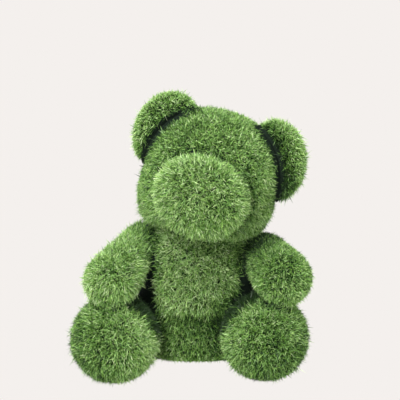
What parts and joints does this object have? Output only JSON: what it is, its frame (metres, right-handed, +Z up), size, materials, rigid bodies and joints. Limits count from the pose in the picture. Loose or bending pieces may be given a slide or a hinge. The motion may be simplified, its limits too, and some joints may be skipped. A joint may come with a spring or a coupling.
{
  "type": "artificial grass bear sculpture",
  "caption": "Sitting bear sculpture covered in artificial grass, with a leaning round head, blunt muzzle, pad ears and stubby arms resting on its outstretched legs.",
  "frame": {"origin": "centre of the bounding box, on the floor that the seat and both feet rest on", "axes": "+Z up along the overall height, the bear's largest extent; the bear faces -Y, and +X is towards its own left side"},
  "size_m": [0.848, 0.642, 0.9843],
  "materials": {
    "grass": "short artificial grass pile, mid green with lighter and darker blades"
  },
  "bodies": {
    "root": {"torso": "grass", "head": "grass", "muzzle": "grass", "ear_left": "grass", "ear_right": "grass", "arm_left": "grass", "arm_right": "grass", "leg_left": "grass", "leg_right": "grass"}
  },
  "joints": []
}
